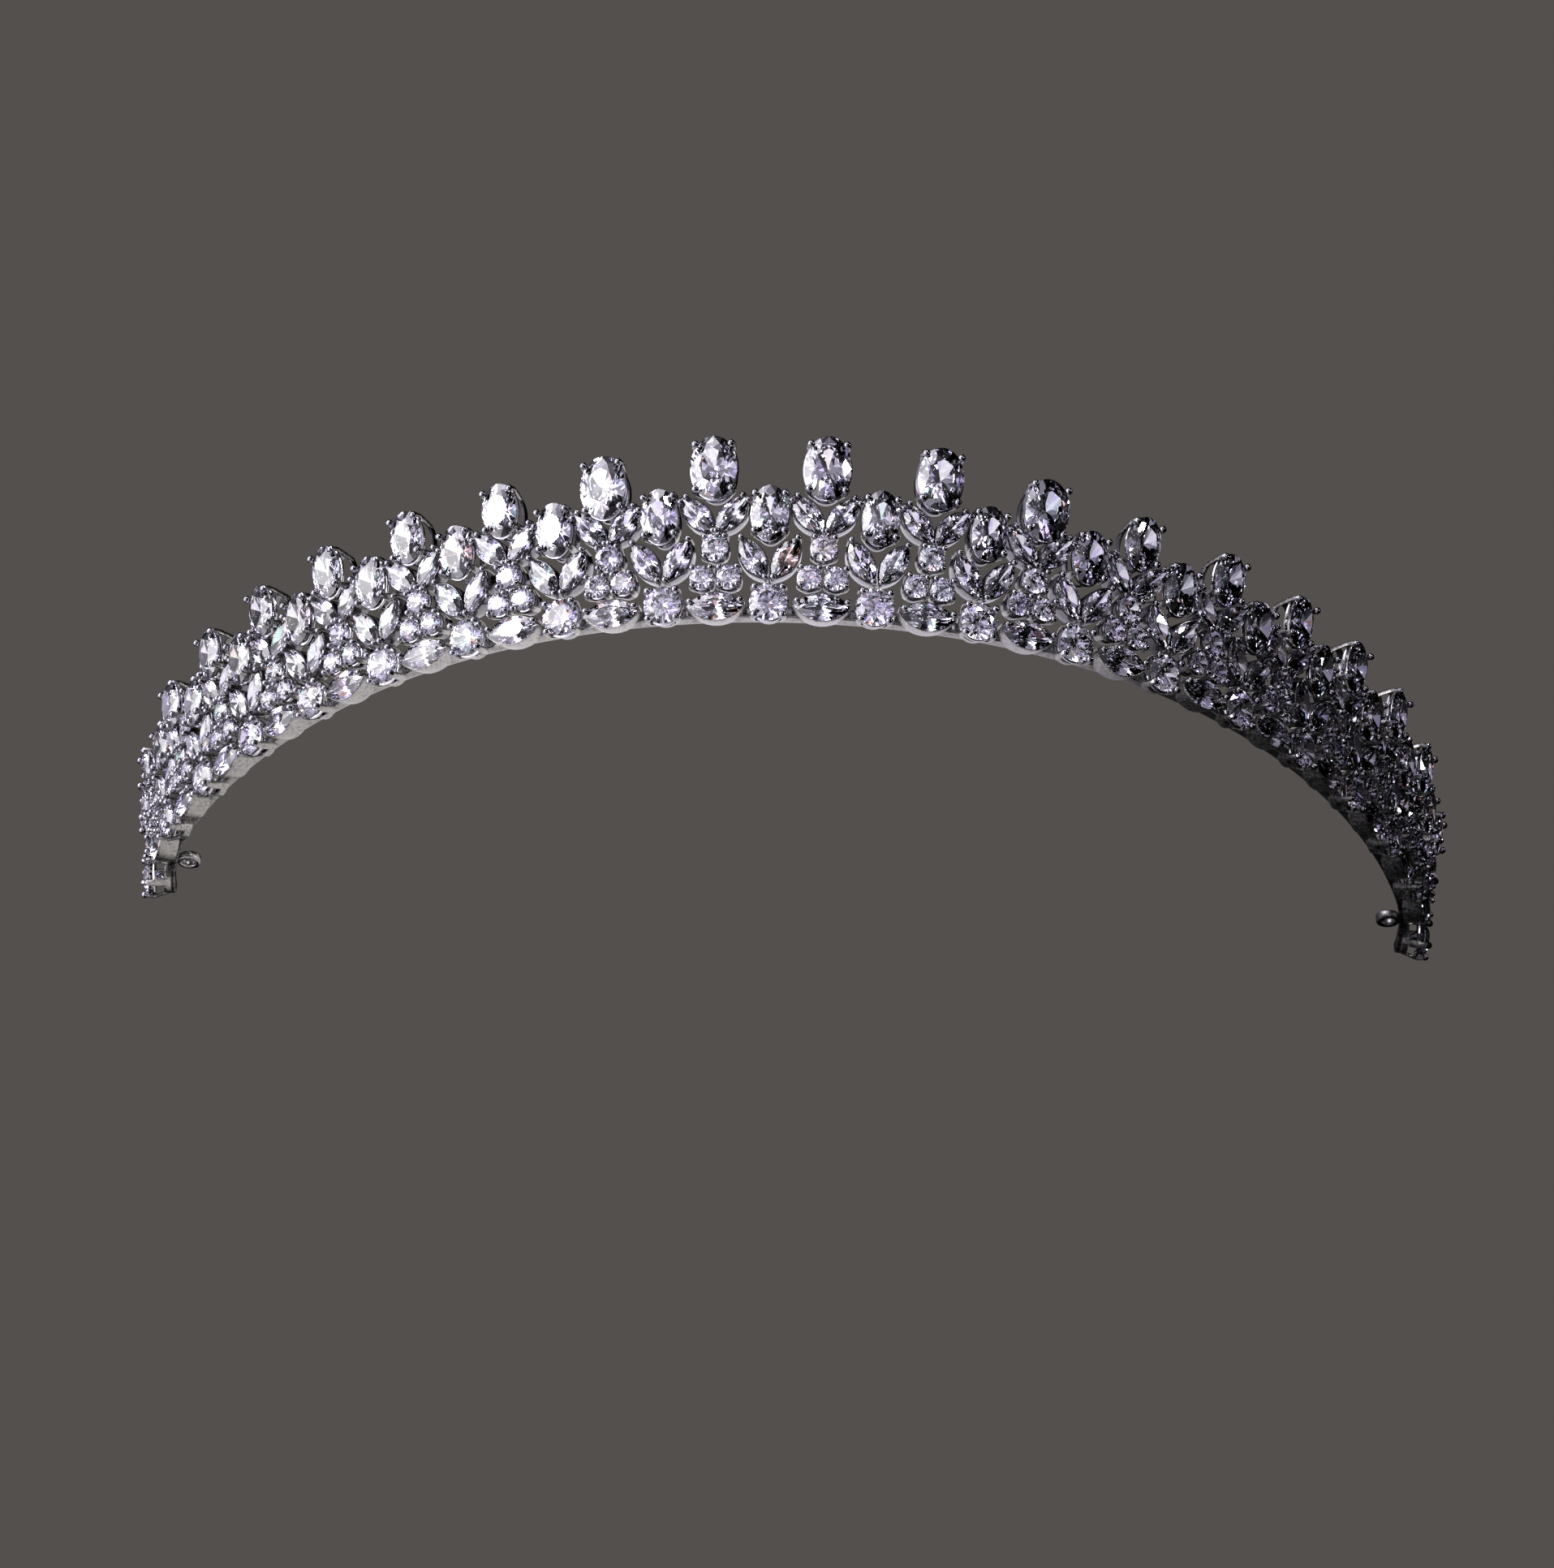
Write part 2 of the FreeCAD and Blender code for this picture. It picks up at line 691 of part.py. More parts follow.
os.makedirs("parts", exist_ok=True)
for node in nodes:
    node.Shape.exportStep(f"parts/{node.Label}.step")

box = FreeCAD.BoundBox()
for node in nodes:
    box.add(node.Shape.BoundBox)
low = [round(value, 2) for value in (box.XMin, box.YMin, box.ZMin)]
high = [round(value, 2) for value in (box.XMax, box.YMax, box.ZMax)]
print("nodes", len(nodes), "box", low, high)
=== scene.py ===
"""Bridal tiara: faceted stones in cast claw settings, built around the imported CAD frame.

Shapes are worked out in millimetres, in each stone's or column's own frame, and are
scaled to metres when a piece is made of them. The band's plan curve, the columns and
the stones' sizes are the CAD model's own.
"""

import math
import random
from collections import namedtuple

import bmesh
import bpy
import numpy as np
from mathutils import Matrix, Vector


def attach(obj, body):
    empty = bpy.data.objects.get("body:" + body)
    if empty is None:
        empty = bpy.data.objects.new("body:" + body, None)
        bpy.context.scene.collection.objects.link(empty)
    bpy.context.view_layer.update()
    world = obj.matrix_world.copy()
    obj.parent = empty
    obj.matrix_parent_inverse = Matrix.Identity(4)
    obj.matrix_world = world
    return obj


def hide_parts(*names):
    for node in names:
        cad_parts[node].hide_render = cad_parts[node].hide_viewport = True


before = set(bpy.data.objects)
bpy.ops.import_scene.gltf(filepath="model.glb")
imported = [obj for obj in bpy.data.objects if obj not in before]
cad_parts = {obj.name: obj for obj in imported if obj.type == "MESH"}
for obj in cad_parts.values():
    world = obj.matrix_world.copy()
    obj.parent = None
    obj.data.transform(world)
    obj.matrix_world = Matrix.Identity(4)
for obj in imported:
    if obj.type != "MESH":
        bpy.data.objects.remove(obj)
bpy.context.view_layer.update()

MM = 0.001
ROOT = "root"
SEED = 20
rng = random.Random(SEED)

# ---------------------------------------------------------------- the band and its columns

# the plan curve from the front to either end, as (radius, angle turned)
ARCS = [
    (72.6, math.radians(44.2)),
    (91.8, math.radians(25.5)),
    (41.9, math.radians(20.6)),
]
CENTRE_SETBACK = 31.77
FACE_LIFT = 1.86
LEAN_FRONT = 18.3
LEAN_DROP = 13.4
COLUMN_PITCH = 11.2
END_GAP = 3.2
LAST_CREST = 9
LAST_VALLEY = 10

# heights, spreads and turns of the stones within their columns
HIGH_CREST = 14.8
SECOND_CREST = 13.6
COMMON_CREST = 13.1
EIGHTH_CREST = 12.2
LAST_CREST_HEIGHT = 10.0
VALLEY_CREST = 9.9
LAST_VALLEY_CREST = 9.65
RAIL_ROUND_LIFT = 0.4
UPPER_FAN_HEIGHT = 9.95
LOWER_FAN_HEIGHT = 5.14
UPPER_ROUND_HEIGHT = 6.4
CLUSTER_HEIGHT = 3.15
SECOND_SINK = 0.5
COMMON_SINK = 0.65
EIGHTH_SINK = 1.1
ROUND_SINK_SHARE = 0.7
FAN_SPREAD_SHARE = 0.12
UPPER_FAN_SPREAD = 1.85
LOWER_FAN_SPREAD = 1.71
CLUSTER_SPREAD = 1.42
UPPER_FAN_TURN = 42.0
LOWER_FAN_TURN = 31.0
CREST_STAND = 0.9

# half the length and half the width of each kind of stone
STONE_HALVES = {
    "large_oval": (3.5, 2.5),
    "oval": (3.0, 2.0),
    "small_oval": (2.5, 1.5),
    "rail_marquise": (3.0, 1.5),
    "upper_marquise": (2.5, 1.25),
    "lower_marquise": (2.5, 1.25),
    "rail_round": (2.0, 2.0),
    "upper_round": (1.4, 1.4),
    "cluster_round": (1.25, 1.25),
}
POINTED = ("rail_marquise", "upper_marquise", "lower_marquise")

# the rail, and the hairpin loops near its ends
RAIL_SETBACK = 2.5
RAIL_DROP = 0.25
RAIL_THICK = 1.2
RAIL_TALL = 1.4
RAIL_EDGE = 0.25
LOOP_STATION = 104.0
LOOP_OUTER = 1.4
LOOP_BORE = 0.8
LOOP_TALL = 1.0
LOOP_LIFT = 0.2
LOOP_REACH = 1.3


def band_point(station):
    """Plan position and heading in radians of the stones' girdle plane, along the band."""
    left = abs(station)
    side = 1 if station >= 0 else -1
    x = 0.0
    y = -CENTRE_SETBACK
    heading = 0.0
    for radius, sweep in ARCS:
        turn = min(left / radius, sweep)
        x += radius * (math.sin(heading + turn) - math.sin(heading))
        y += radius * (math.cos(heading) - math.cos(heading + turn))
        heading += turn
        left -= turn * radius
    return side * x, y, side * heading


def column_matrix(column):
    """Frame of a column in mm: X along the band, Y up its leaning face, Z outwards."""
    station = column * COLUMN_PITCH
    if abs(column) > LAST_CREST:
        station += math.copysign(END_GAP, column)
    x, y, heading = band_point(station)
    lean = LEAN_FRONT - LEAN_DROP * (column / (LAST_CREST + 0.5)) ** 2
    upright = Matrix.Rotation(math.radians(90 + lean), 4, "X")
    return Matrix.Translation((x, y, FACE_LIFT)) @ Matrix.Rotation(heading, 4, "Z") @ upright


def stone_matrix(across, up, out, turn):
    """Frame of a stone within its column: X across it, Y along it, Z out of its table."""
    return Matrix.Translation((across, up, out)) @ Matrix.Rotation(math.radians(turn), 4, "Z")


def pair(kind, spread, up, turn):
    """Two stones either side of the column's middle line, leaning apart."""
    return [(kind, -spread, up, 0, turn), (kind, spread, up, 0, -turn)]


def crest_layout(column):
    """Stones of a crest column as (kind, across, up, out, turn)."""
    number = abs(column)
    kind = "large_oval" if number <= 2 else "oval"
    top = COMMON_CREST
    sink = COMMON_SINK
    if number <= 1:
        top = HIGH_CREST
        sink = 0.0
    elif number == 2:
        top = SECOND_CREST
        sink = SECOND_SINK
    elif number >= LAST_CREST - 1:
        top = EIGHTH_CREST
        sink = EIGHTH_SINK
    if number == LAST_CREST:
        top = LAST_CREST_HEIGHT
        kind = "small_oval"
    layout = [("rail_marquise", 0, 0, 0, 90)]
    layout += pair("cluster_round", CLUSTER_SPREAD, CLUSTER_HEIGHT, 0)
    layout.append(("upper_round", 0, UPPER_ROUND_HEIGHT - sink * ROUND_SINK_SHARE, 0, 0))
    if number < LAST_CREST:
        spread = UPPER_FAN_SPREAD + sink * FAN_SPREAD_SHARE
        layout += pair("upper_marquise", spread, UPPER_FAN_HEIGHT - sink, UPPER_FAN_TURN)
    layout.append((kind, 0, top, CREST_STAND, 0))
    return layout


def valley_layout(column):
    """Stones of a valley column as (kind, across, up, out, turn)."""
    top = LAST_VALLEY_CREST if abs(column) > LAST_CREST else VALLEY_CREST
    layout = [("rail_round", 0, RAIL_ROUND_LIFT, 0, 0)]
    layout += pair("lower_marquise", LOWER_FAN_SPREAD, LOWER_FAN_HEIGHT, LOWER_FAN_TURN)
    layout.append(("oval", 0, top, CREST_STAND / 2, 0))
    return layout


# ---------------------------------------------------------------- shapes as arrays

# which of a setting's metals a face takes
POLISHED = 0
CAST = 1
# beads: their own high polish, with a colour darkened as painted shade for the dark room they
# reflect
BEAD_PAINTED_SHADE = 2
# the upper rows' galleries and cup walls: a dark copy of the rhodium, painted shade for the
# shadow they sit in
PAINTED_SHADE = 3


def shape(points, faces, finish=POLISHED):
    """Points in mm, faces by their points' numbers, and each face's finish."""
    return {
        "points": np.array(points, float).reshape(-1, 3),
        "faces": faces,
        "finish": [finish] * len(faces),
    }


def merge(placed):
    """One shape from (shape, matrix) pairs."""
    points = []
    faces = []
    finish = []
    start = 0
    for part, matrix in placed:
        turn = np.array(matrix.to_3x3())
        points.append(part["points"] @ turn.T + np.array(matrix.translation))
        faces += [tuple(start + corner for corner in face) for face in part["faces"]]
        finish += part["finish"]
        start += len(part["points"])
    return {"points": np.concatenate(points), "faces": faces, "finish": finish}


def join(parts):
    """One shape from shapes that are in one frame already."""
    return merge([(part, Matrix.Identity(4)) for part in parts])


def make_piece(name, part, materials, crease=None):
    """A Blender object from a shape; faces that meet at more than crease degrees stay sharp."""
    mesh = bpy.data.meshes.new(name)
    mesh.from_pydata((part["points"] * MM).tolist(), [], part["faces"])
    for material in materials:
        mesh.materials.append(material)
    mesh.polygons.foreach_set("material_index", part["finish"])
    if crease is not None:
        mesh.shade_smooth()
        mesh.set_sharp_from_angle(angle=math.radians(crease))
    mesh.update()
    obj = bpy.data.objects.new(name, mesh)
    bpy.context.scene.collection.objects.link(obj)
    return obj


def loft(rings, closed, finish=POLISHED):
    """Faces between rings of equal count; closed joins the last ring to the first."""
    count = len(rings[0])
    points = [point for ring in rings for point in ring]
    total = len(rings)
    steps = total if closed else total - 1
    faces = []
    for step in range(steps):
        low = step * count
        high = (step + 1) % total * count
        for index in range(count):
            after = (index + 1) % count
            faces.append((low + index, low + after, high + after, high + index))
    if not closed:
        faces.append(tuple(reversed(range(count))))
        faces.append(tuple(range((total - 1) * count, total * count)))
    return shape(points, faces, finish)


# ---------------------------------------------------------------- outlines

def oval_outline(half_long, half_wide, offset, count):
    """Points of an ellipse pushed outwards by offset; long axis along Y."""
    points = []
    for index in range(count):
        angle = 2 * math.pi * index / count
        x = half_wide * math.cos(angle)
        y = half_long * math.sin(angle)
        nx = math.cos(angle) / half_wide
        ny = math.sin(angle) / half_long
        length = math.hypot(nx, ny)
        points.append((x + offset * nx / length, y + offset * ny / length))
    return points


def pointed_outline(half_long, half_wide, offset, count):
    """Points of a marquise pushed outwards by offset: two arcs that meet in points along Y."""
    radius = (half_long ** 2 + half_wide ** 2) / (2 * half_wide)
    centre = radius - half_wide
    radius += offset
    sweep = math.acos(centre / radius)
    side = count // 2
    points = []
    for sign in (1, -1):
        for index in range(side):
            angle = sign * (2 * index / side - 1) * sweep
            if sign < 0:
                angle = (1 - 2 * index / side) * sweep
            points.append((sign * (radius * math.cos(angle) - centre), radius * math.sin(angle)))
    return points


def outline(kind, offset, count):
    """Points of a kind of stone's outline pushed outwards by offset."""
    half_long, half_wide = STONE_HALVES[kind]
    draw = pointed_outline if kind in POINTED else oval_outline
    return draw(half_long, half_wide, offset, count)


# ---------------------------------------------------------------- the cut of the stones

# proportions of the cut, as shares of the stone's width
CROWN_SHARE = 0.15
TABLE_SHARE = 0.56
PAVILION_SHARE = 0.42
HALF_GIRDLE = 0.05
# how far out from the middle, as shares of the half width, the facets round the table
# and the long ones round the point meet
STAR_REACH = 0.76
LOWER_REACH = 0.24
GIRDLE_SIDES = 48
MAINS = 8
HALVES = 2 * MAINS
HALF_STEP = math.pi / HALVES
BLOCK_REACH = 2
CUT_TOLERANCE = 1e-5
WELD = 0.004


def facet_planes():
    """Facet families of a brilliant cut as (count, first angle, height at girdle, rise).

    First angles are in half steps. Heights and rises are for a stone of half width 1; a
    facet's plane rises from the girdle towards the middle by rise times the share of the
    way covered. The last value is the height of the crown.
    """
    near = math.cos(HALF_STEP)
    far = math.cos(2 * HALF_STEP)

    def steepen(reach):
        return (1 - reach * far) / (near * (1 - reach))

    crown = 2 * CROWN_SHARE
    main = crown / (1 - TABLE_SHARE + steepen(STAR_REACH) * (1 - near))
    half = main * steepen(STAR_REACH)
    lift = half * (1 - near)
    star_low = lift + main * (1 - STAR_REACH * far)
    star = (crown - star_low) / (STAR_REACH - TABLE_SHARE * far)
    depth = 2 * PAVILION_SHARE
    keel = depth / (1 + steepen(LOWER_REACH) * (1 - near))
    under = keel * steepen(LOWER_REACH)
    above = [
        (MAINS, 0, lift, main),
        (HALVES, 1, 0, half),
        (MAINS, 2, crown - star * (1 - TABLE_SHARE * far), star),
    ]
    below = [
        (MAINS, 0, under * (1 - near), keel),
        (HALVES, 1, 0, under),
    ]
    return above, below, crown


def cut_stone(kind):
    """A brilliant cut of the kind's outline: a prism trimmed by each facet's plane."""
    half_long, half_wide = STONE_HALVES[kind]
    rim = outline(kind, 0, GIRDLE_SIDES)
    above, below, crown = facet_planes()
    block = bmesh.new()
    low = [block.verts.new((x, y, -BLOCK_REACH * half_wide)) for x, y in rim]
    high = [block.verts.new((x, y, BLOCK_REACH * half_wide)) for x, y in rim]
    block.faces.new(list(reversed(low)))
    block.faces.new(high)
    for index in range(len(rim)):
        after = (index + 1) % len(rim)
        block.faces.new((low[index], low[after], high[after], high[index]))
    planes = [((0, 0, 1), (0, 0, HALF_GIRDLE + crown * half_wide))]
    for sign, families in ((1, above), (-1, below)):
        for count, first, height, rise in families:
            for number in range(count):
                turn = first * HALF_STEP + number * 2 * math.pi / count
                across = math.cos(turn) / half_wide
                along = math.sin(turn) / half_long
                length = math.hypot(across, along)
                across /= length
                along /= length
                reach = max(x * across + y * along for x, y in rim)
                slope = rise * half_wide / reach
                level = sign * (HALF_GIRDLE + height * half_wide)
                point = (across * reach, along * reach, level)
                planes.append(((slope * across, slope * along, sign), point))
    for normal, point in planes:
        everything = block.verts[:] + block.edges[:] + block.faces[:]
        cut = bmesh.ops.bisect_plane(block, geom=everything, dist=CUT_TOLERANCE,
                                     plane_co=point, plane_no=normal, clear_outer=True)
        edges = [item for item in cut["geom_cut"] if isinstance(item, bmesh.types.BMEdge)]
        # the cut leaves an opening, which becomes the facet
        if len(edges) > 2:
            bmesh.ops.contextual_create(block, geom=edges)
    bmesh.ops.remove_doubles(block, verts=block.verts[:], dist=WELD)
    bmesh.ops.recalc_face_normals(block, faces=block.faces[:])
    block.verts.index_update()
    points = [tuple(vert.co) for vert in block.verts]
    faces = [tuple(vert.index for vert in face.verts) for face in block.faces]
    block.free()
    return shape(points, faces)


# ---------------------------------------------------------------- cast settings

WIRE_SIDES = 8
BEAD_RINGS = 5
# how far, in rings, the bead's last ring stays from its pole
BEAD_TAIL = 0.35
LEG_HALF_THICK = 0.216
PATH_STEPS = 3


def smooth_path(points, steps):
    """Catmull-Rom points through the given ones."""
    ends = [points[0]] + list(points) + [points[-1]]
    path = []
    for index in range(1, len(ends) - 2):
        near = [np.array(ends[index + step], float) for step in (-1, 0, 1, 2)]
        before, start, end, after = near
        for step in range(steps):
            share = step / steps
            path.append(0.5 * (2 * start + (end - before) * share
                               + (2 * before - 5 * start + 4 * end - after) * share ** 2
                               + (3 * start - before - 3 * end + after) * share ** 3))
    path.append(np.array(points[-1], float))
    return path


def wire(path, radii, across, sides=WIRE_SIDES, flat=None):
    """A tube along a path in the plane whose unit normal is across, thinned by flat within it."""
    rings = []
    across = np.array(across, float)
    for index, point in enumerate(path):
        ahead = path[min(index + 1, len(path) - 1)]
        behind = path[max(index - 1, 0)]
        along = (ahead - behind) / np.linalg.norm(ahead - behind)
        normal = np.cross(across, along)
        thin = flat[index] if flat else 1.0
        ring = []
        for step in range(sides):
            angle = 2 * math.pi * step / sides
            ring.append(point + radii[index] * (thin * math.cos(angle) * normal
                                                + math.sin(angle) * across))
        rings.append(ring)
    return loft(rings, closed=False)


def claw(foot, outward, path, leg, neck, bead):
    """A leg that ends in a bead; path holds (outwards, up) from its foot to the bead's centre."""
    outward = np.array([outward[0], outward[1], 0.0])
    across = np.array([-outward[1], outward[0], 0.0])
    foot = np.array([foot[0], foot[1], 0.0])
    up = np.array([0.0, 0.0, 1.0])
    line = smooth_path([foot + outward * out + up * rise for out, rise in path], PATH_STEPS)
    count = len(line)
    radii = [leg + (neck - leg) * index / (count - 1) for index in range(count)]
    thin = LEG_HALF_THICK / leg
    flat = [thin + (1 - thin) * (index / (count - 1)) ** 2 for index in range(count)]
    centre = line[-1]
    along = (line[-1] - line[-2]) / np.linalg.norm(line[-1] - line[-2])
    neck_angle = math.pi - math.asin(neck / bead)
    line = line[:-1]
    radii = radii[:-1]
    flat = flat[:-1]
    for step in range(BEAD_RINGS + 1):
        angle = neck_angle * (1 - step / (BEAD_RINGS + BEAD_TAIL))
        line.append(centre + along * bead * math.cos(angle))
        radii.append(bead * math.sin(angle))
        flat.append(1.0)
    part = wire(line, radii, across, flat=flat)
    first = WIRE_SIDES * (len(line) - BEAD_RINGS - 2)
    part["finish"] = [CAST] * first + [BEAD_PAINTED_SHADE] * (len(part["finish"]) - first)
    return part


def ring_wire(kind, offset, height, radius, count):
    """A round wire that follows the stone's outline."""
    rings = []
    for step in range(WIRE_SIDES):
        angle = 2 * math.pi * step / WIRE_SIDES
        level = height + radius * math.sin(angle)
        edge = outline(kind, offset + radius * math.cos(angle), count)
        rings.append([(x, y, level) for x, y in edge])
    return loft(rings, closed=True)


# section of a basket's gallery band: (offset, height above the band's lower edge)
GALLERY_SECTION = [(0.17, 0.06), (0.19, 0.4), (0.15, 0.74), (0.0, 0.8),
                   (-0.15, 0.72), (-0.19, 0.4), (-0.16, 0.08), (0.0, 0.0)]


def gallery_band(kind, offset, low, count):
    """The flat band at the back of a basket; only the bottom row's is pale, the others' are
    darkened with painted shade.
    """
    rings = []
    for out, rise in GALLERY_SECTION:
        rings.append([(x, y, low + rise) for x, y in outline(kind, offset + out, count)])
    return loft(rings, closed=True, finish=CAST if kind == "rail_round" else PAINTED_SHADE)


# corner is the angle of a basket's claws in degrees, taper how far its back is pulled in,
# sides those of its rings, leg the half width of its claws and bead the radius of their beads
Basket = namedtuple("Basket", "depth corner taper sides leg bead")
BASKETS = {
    "large_oval": Basket(3.4, 43, 0.45, 32, 0.54, 0.44),
    "oval": Basket(3.4, 41, 0.4, 28, 0.52, 0.44),
    "small_oval": Basket(3.4, 41, 0.3, 24, 0.42, 0.44),
    "rail_round": Basket(2.6, 45, 0.35, 24, 0.5, 0.44),
    "upper_round": Basket(2.6, 45, 0.2, 20, 0.36, 0.36),
    "cluster_round": Basket(2.6, 45, 0.2, 20, 0.36, 0.36),
}
BASKET_NECK = 0.26
SEAT_HEIGHT = -0.62
SEAT_OFFSET = -0.08
SEAT_WIRE = 0.2


def basket(kind):
    """Two rings and four hooked claws with beads."""
    facts = BASKETS[kind]
    half_long, half_wide = STONE_HALVES[kind]
    depth = facts.depth
    taper = facts.taper
    parts = [
        ring_wire(kind, SEAT_OFFSET, SEAT_HEIGHT, SEAT_WIRE, facts.sides),
        gallery_band(kind, -taper, -depth, facts.sides),
    ]
    # a claw's route as (outwards, up), from the back of the basket to its bead
    route = [(-taper, 0.1 - depth), (-0.4 * taper + 0.1, -0.62 * depth), (0.26, -0.75),
             (0.32, -0.2), (0.24, 0.22), (0.1, 0.5)]
    corner = math.radians(facts.corner)
    for angle in (corner, math.pi - corner, math.pi + corner, -corner):
        foot = (half_wide * math.cos(angle), half_long * math.sin(angle))
        nx = math.cos(angle) / half_wide
        ny = math.sin(angle) / half_long
        length = math.hypot(nx, ny)
        outward = (nx / length, ny / length)
        parts.append(claw(foot, outward, route, facts.leg, BASKET_NECK, facts.bead))
    return join(parts)


# wall profile of a marquise cup as (offset, height), down the outside and up the inside
CUP_PROFILE = [(0.05, -0.06), (0.12, -0.12), (0.15, -0.3), (0.14, -1.2), (0.08, -2.2),
               (0.0, -2.36), (-0.16, -2.32), (-0.17, -1.3), (-0.16, -0.5), (-0.1, -0.16),
               (-0.02, -0.06)]
CUP_SIDES = 24
CUP_LEG = 0.3
CUP_NECK = 0.25
CUP_BEAD = 0.38
# the route of a cup's claw as (outwards, up)
CUP_ROUTE = [(0.0, -1.9), (0.1, -1.0), (0.16, -0.3), (0.1, 0.12), (-0.04, 0.42)]
# claws of each marquise cup: (end, sideways, pulled in from the point)
CUP_CLAWS = {
    "rail_marquise": [(1, 0.5, 0.3), (-1, 0.5, 0.3)],
    "upper_marquise": [(1, -0.4, 0.28), (1, 0.4, 0.28), (-1, 0, -0.05)],
    "lower_marquise": [(1, 0, -0.05), (-1, 0, -0.05)],
}


def marquise_cup(kind):
    """A boat-shaped wall with claws at its points; only the bottom row's wall is pale, the
    others' are darkened with painted shade.
    """
    half_long = STONE_HALVES[kind][0]
    rings = []
    for offset, height in CUP_PROFILE:
        rings.append([(x, y, height) for x, y in outline(kind, offset, CUP_SIDES)])
    parts = [loft(rings, closed=True, finish=CAST if kind == "rail_marquise" else PAINTED_SHADE)]
    for end, sideways, pulled in CUP_CLAWS[kind]:
        foot = (sideways, end * (half_long - pulled))
        parts.append(claw(foot, (0, end), CUP_ROUTE, CUP_LEG, CUP_NECK, CUP_BEAD))
    return join(parts)


# ---------------------------------------------------------------- materials

# patches of polish: how much coarser they are than the grain, and the noise levels
# between which they turn from the smoothest to the roughest
PATCH_SCALE = 0.4
PATCH_LOW = 0.3
PATCH_HIGH = 0.7
PATCH_DETAIL = 4.0
SMOOTHEST = 0.6
ROUGHEST = 1.6
TONE_HIGH = 0.6
GRAIN_DETAIL = 6.0
RELIEF_SHARE = 0.3


def new_material(name):
    material = bpy.data.materials.new(name)
    material.use_nodes = True
    return material, material.node_tree.nodes, material.node_tree.links


def new_range(nodes, low, high, to_low=0.0, to_high=1.0):
    """A node that maps low to high onto to_low to to_high."""
    node = nodes.new("ShaderNodeMapRange")
    node.inputs["From Min"].default_value = low
    node.inputs["From Max"].default_value = high
    node.inputs["To Min"].default_value = to_low
    node.inputs["To Max"].default_value = to_high
    return node


def new_noise(nodes, scale, detail):
    node = nodes.new("ShaderNodeTexNoise")
    node.inputs["Scale"].default_value = scale
    node.inputs["Detail"].default_value = detail
    return node


def set_stops(ramp, stops):
    """Give a colour ramp its stops, from (position, colour) pairs."""
    while len(ramp.elements) < len(stops):
        ramp.elements.new(0.5)
    for element, (position, colour) in zip(ramp.elements, stops):
        element.position = position
        element.color = (*colour, 1)


def rhodium(name, colour, roughness, grain_mm, bump, mottle=0.82):
    """Rhodium plate over a casting: polish that differs from place to place, and cast grain."""
    material, nodes, links = new_material(name)
    shader = nodes["Principled BSDF"]
    shader.inputs["Metallic"].default_value = 1.0
    place = nodes.new("ShaderNodeTexCoord")
    polish = new_noise(nodes, PATCH_SCALE / (grain_mm * MM), PATCH_DETAIL)
    links.new(place.outputs["Object"], polish.inputs["Vector"])
    rough = new_range(nodes, PATCH_LOW, PATCH_HIGH, roughness * SMOOTHEST, roughness * ROUGHEST)
    links.new(polish.outputs["Fac"], rough.inputs["Value"])
    links.new(rough.outputs["Result"], shader.inputs["Roughness"])
    tone = nodes.new("ShaderNodeValToRGB")
    worn = tuple(mottle * channel for channel in colour)
    set_stops(tone.color_ramp, [(PATCH_LOW, worn), (TONE_HIGH, colour)])
    links.new(polish.outputs["Fac"], tone.inputs["Fac"])
    links.new(tone.outputs["Color"], shader.inputs["Base Color"])
    grain = new_noise(nodes, 1 / (grain_mm * MM), GRAIN_DETAIL)
    links.new(place.outputs["Object"], grain.inputs["Vector"])
    relief = nodes.new("ShaderNodeBump")
    relief.inputs["Strength"].default_value = bump
    relief.inputs["Distance"].default_value = grain_mm * MM * RELIEF_SHARE
    links.new(grain.outputs["Fac"], relief.inputs["Height"])
    links.new(relief.outputs["Normal"], shader.inputs["Normal"])
    return material


def glow(name, stops, half_width):
    """A reflector's light from left to right; stops hold (share of the way, colour)."""
    material, nodes, links = new_material(name)
    place = nodes.new("ShaderNodeTexCoord")
    split = nodes.new("ShaderNodeSeparateXYZ")
    links.new(place.outputs["Object"], split.inputs["Vector"])
    share = new_range(nodes, -half_width * MM, half_width * MM)
    links.new(split.outputs["X"], share.inputs["Value"])
    fade = nodes.new("ShaderNodeValToRGB")
    set_stops(fade.color_ramp, stops)
    links.new(share.outputs["Result"], fade.inputs["Fac"])
    emission = nodes.new("ShaderNodeEmission")
    links.new(fade.outputs["Color"], emission.inputs["Color"])
    links.new(emission.outputs["Emission"], nodes["Material Output"].inputs["Surface"])
    material.cycles.emission_sampling = "NONE"
    return material


# the colour attribute that holds each facet's painted fire
PAINTED_FIRE = "painted_fire"
STONE_INDEX = 2.15


def crystal():
    """Clear cut stone; each facet's colour holds painted fire, a faint tint painted in for
    dispersion's coloured flashes.
    """
    material, nodes, links = new_material("clear_stone")
    shader = nodes["Principled BSDF"]
    shader.inputs["Roughness"].default_value = 0.0
    shader.inputs["IOR"].default_value = STONE_INDEX
    shader.inputs["Transmission Weight"].default_value = 1.0
    painted_fire = nodes.new("ShaderNodeAttribute")
    painted_fire.attribute_name = PAINTED_FIRE
    links.new(painted_fire.outputs["Color"], shader.inputs["Base Color"])
    return material


